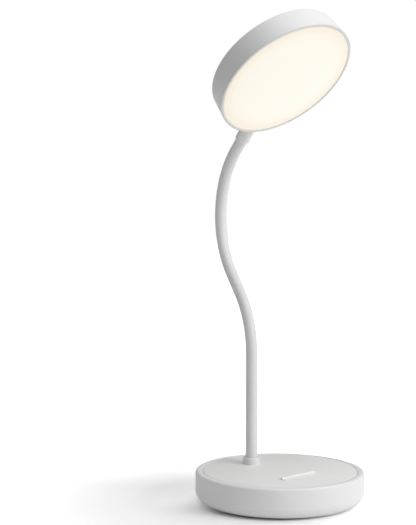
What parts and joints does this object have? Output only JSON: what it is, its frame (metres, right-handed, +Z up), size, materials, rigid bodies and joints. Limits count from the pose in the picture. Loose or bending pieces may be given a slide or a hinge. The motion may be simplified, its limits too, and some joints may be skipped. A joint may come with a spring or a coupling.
{
  "type": "desk lamp",
  "caption": "Round-headed LED desk lamp on a flexible sleeved gooseneck, with a weighted puck base whose cover has a small lip that holds a phone against the neck.",
  "frame": {"origin": "centre of the foot pad's lower face, the face the lamp stands on", "axes": "+Z up, -Y the front that the phone rest and the light face, +X to the right seen from the front"},
  "size_m": [0.12, 0.136, 0.3428],
  "materials": {
    "white_shell": "matte white moulded shell",
    "white_trim": "matte white moulded trim",
    "bezel": "pale grey satin ring",
    "white_sleeve": "smooth matte white sleeve",
    "dark_plastic": "moulded dark grey",
    "rubber": "matte non-slip pad",
    "opal": "opal, lit from inside",
    "clear_guide": "clear acrylic",
    "reflector": "white film",
    "steel": "plated steel",
    "core_steel": "plain steel",
    "aluminium": "pressed sheet",
    "board": "solder mask",
    "foil": "pouch foil",
    "foam": "adhesive foam",
    "wire": "insulated wire",
    "led": "moulded LED"
  },
  "bodies": {
    "base": {"foot_pad": "rubber", "base_shell": "white_shell", "top_cover": "white_shell", "bottom_plate": "dark_plastic", "base_screws": "steel", "ballast_disc": "steel", "battery_pad": "foam", "battery_pack": "foil", "battery_lead": "wire", "control_board": "board", "board_chips": "dark_plastic", "board_screws": "steel", "usb_c_inlet": "steel", "inlet_tongue": "dark_plastic", "tact_switch": "dark_plastic", "charge_led": "led", "charge_window": "clear_guide", "neck_foot_ring": "white_trim", "neck_washer": "steel", "neck_nut": "steel", "lamp_lead": "wire", "core_root": "core_steel", "sleeve_root": "white_sleeve"},
    "power_button": {"power_button": "white_shell"},
    "neck_1": {"core_link_1": "core_steel", "sleeve_link_1": "white_sleeve"},
    "neck_2": {"core_link_2": "core_steel", "sleeve_link_2": "white_sleeve"},
    "neck_3": {"core_link_3": "core_steel", "sleeve_link_3": "white_sleeve"},
    "neck_4": {"core_link_4": "core_steel", "sleeve_link_4": "white_sleeve"},
    "neck_5": {"core_link_5": "core_steel", "sleeve_link_5": "white_sleeve"},
    "neck_6": {"core_link_6": "core_steel", "sleeve_link_6": "white_sleeve"},
    "neck_7": {"core_link_7": "core_steel", "sleeve_link_7": "white_sleeve"},
    "head": {"core_tip": "core_steel", "sleeve_tip": "white_sleeve", "head_collar": "white_trim", "collar_nut": "steel", "head_housing": "white_shell", "bezel_ring": "bezel", "diffuser": "opal", "light_guide": "clear_guide", "reflector_sheet": "reflector", "led_strip": "board", "led_chips": "led", "metal_tray": "aluminium", "tray_screws": "steel", "head_lead": "wire"}
  },
  "joints": [
    {"name": "neck_lower_bend", "type": "hinge", "parent": "base", "child": "neck_1", "pos_m": [0, 0.0288, 0.0464], "axis": [0.9781, -0.2079, 0], "range_deg": [-12, 12]},
    {"name": "neck_lower_sway", "type": "hinge", "parent": "neck_1", "child": "neck_2", "pos_m": [0, 0.0288, 0.0764], "axis": [0.2079, 0.9781, 0], "range_deg": [-12, 12]},
    {"name": "neck_bend_3", "type": "hinge", "parent": "neck_2", "child": "neck_3", "pos_m": [0.00002, 0.0289, 0.1064], "axis": [0.9781, -0.2079, 0], "range_deg": [-12, 12]},
    {"name": "neck_sway_4", "type": "hinge", "parent": "neck_3", "child": "neck_4", "pos_m": [0.00174, 0.037, 0.13497], "axis": [0.1816, 0.8545, -0.4867], "range_deg": [-12, 12]},
    {"name": "neck_upper_bend", "type": "hinge", "parent": "neck_4", "child": "neck_5", "pos_m": [0.00558, 0.05507, 0.15853], "axis": [0.9781, -0.2079, 0], "range_deg": [-15, 15]},
    {"name": "neck_upper_sway", "type": "hinge", "parent": "neck_5", "child": "neck_6", "pos_m": [0.00861, 0.0693, 0.18447], "axis": [0.1998, 0.9398, -0.2774], "range_deg": [-15, 15]},
    {"name": "neck_bend_7", "type": "hinge", "parent": "neck_6", "child": "neck_7", "pos_m": [0.00891, 0.07074, 0.21417], "axis": [0.9781, -0.2079, 0], "range_deg": [-15, 15]},
    {"name": "neck_sway_8", "type": "hinge", "parent": "neck_7", "child": "head", "pos_m": [0.00643, 0.05906, 0.24139], "axis": [0.1662, 0.7817, 0.6011], "range_deg": [-15, 15]},
    {"name": "power_button_press", "type": "slide", "parent": "base", "child": "power_button", "axis": [-0.3746, -0.9272, 0], "range_m": [0, 0.0008], "stiffness_N_per_m": 1500}
  ],
  "couplings": [
    {"joint": "neck_bend_3", "follows": "neck_lower_bend", "ratio": 1},
    {"joint": "neck_sway_4", "follows": "neck_lower_sway", "ratio": 1},
    {"joint": "neck_bend_7", "follows": "neck_upper_bend", "ratio": 1},
    {"joint": "neck_sway_8", "follows": "neck_upper_sway", "ratio": 1}
  ]
}
